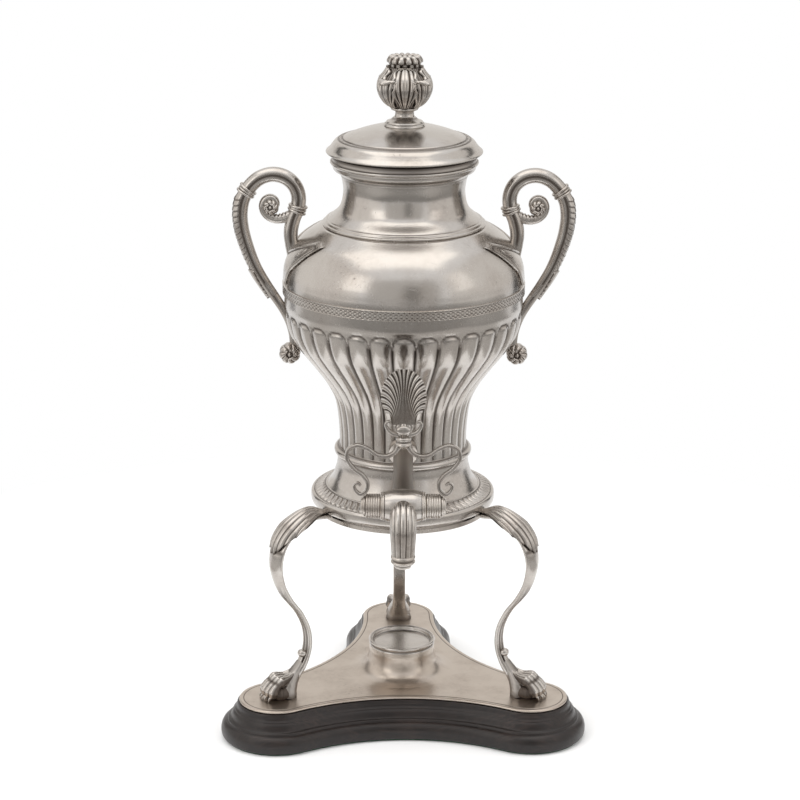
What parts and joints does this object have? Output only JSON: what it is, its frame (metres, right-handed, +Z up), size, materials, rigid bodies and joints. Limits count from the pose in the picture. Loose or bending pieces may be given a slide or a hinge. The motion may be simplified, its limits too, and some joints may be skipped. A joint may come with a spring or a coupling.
{
  "type": "samovar",
  "caption": "Vase-shaped hot-water urn on three lion-paw legs and a dark wooden plinth, with scroll handles, a lift-off lid and a tap with a palmette key.",
  "frame": {"origin": "centre of the plinth's underside, on the vessel's axis, in the plane it rests on", "axes": "+Z up the vessel's axis, -Y towards the tap and the front, +X towards the right handle as seen from the front"},
  "size_m": [0.2711, 0.2883, 0.5],
  "materials": {
    "silver_plate": "old silver plate over copper alloy, satin to polished, brown tarnish in the hollows",
    "black_wood": "ebonised, waxed",
    "felt": "baize",
    "brass": "dull brass",
    "tinned_copper": "tinned copper",
    "steel_screw": "plain",
    "fibre_washer": "red fibre"
  },
  "bodies": {
    "urn": {"base_felt": "felt", "plinth": "black_wood", "base_plate": "silver_plate", "lamp_seat": "silver_plate", "paw_screws": "steel_screw", "paw_left": "silver_plate", "paw_right": "silver_plate", "paw_back": "silver_plate", "leg_left": "silver_plate", "leg_right": "silver_plate", "leg_back": "silver_plate", "knee_shell_left": "silver_plate", "knee_shell_right": "silver_plate", "knee_shell_back": "silver_plate", "stand_ring": "brass", "leg_rivets": "brass", "foot_flange": "silver_plate", "foot_cone": "silver_plate", "lower_ring": "silver_plate", "vessel_floor": "tinned_copper", "vessel_waist": "silver_plate", "lower_body": "silver_plate", "upper_body": "silver_plate", "neck": "silver_plate", "waist_band": "silver_plate", "shoulder_ring": "silver_plate", "rim_collar": "silver_plate", "handle_left": "silver_plate", "handle_right": "silver_plate", "handle_curl_left": "silver_plate", "handle_curl_right": "silver_plate", "handle_bracelets_left": "silver_plate", "handle_bracelets_right": "silver_plate", "handle_rosettes_left": "silver_plate", "handle_rosettes_right": "silver_plate", "tap_pad": "silver_plate", "tap_pipe": "silver_plate", "tap_nut": "brass", "tap_washer": "fibre_washer", "tap_barrel": "silver_plate", "tap_barrel_rings": "silver_plate", "spout": "silver_plate", "spout_collar": "silver_plate", "nozzle": "silver_plate"},
    "key": {"tap_plug": "brass", "plug_sleeve_left": "silver_plate", "plug_sleeve_right": "silver_plate", "plug_caps": "silver_plate", "key_arm_left": "silver_plate", "key_arm_right": "silver_plate", "key_collar": "silver_plate", "key_calyx": "silver_plate", "key_palmette": "silver_plate"},
    "lid": {"lid_shell": "silver_plate", "lid_bezel": "silver_plate", "finial_foot": "silver_plate", "finial_knop": "silver_plate", "finial_rosette": "silver_plate", "finial_screw": "steel_screw", "finial_nut": "brass"}
  },
  "joints": [
    {"name": "lid_lift", "type": "slide", "parent": "urn", "child": "lid", "axis": [0, 0, 1], "range_m": [0, 0.06]},
    {"name": "key_tip", "type": "hinge", "parent": "urn", "child": "key", "pos_m": [0, -0.11, 0.1995], "axis": [1, 0, 0], "range_deg": [0, 90]}
  ]
}
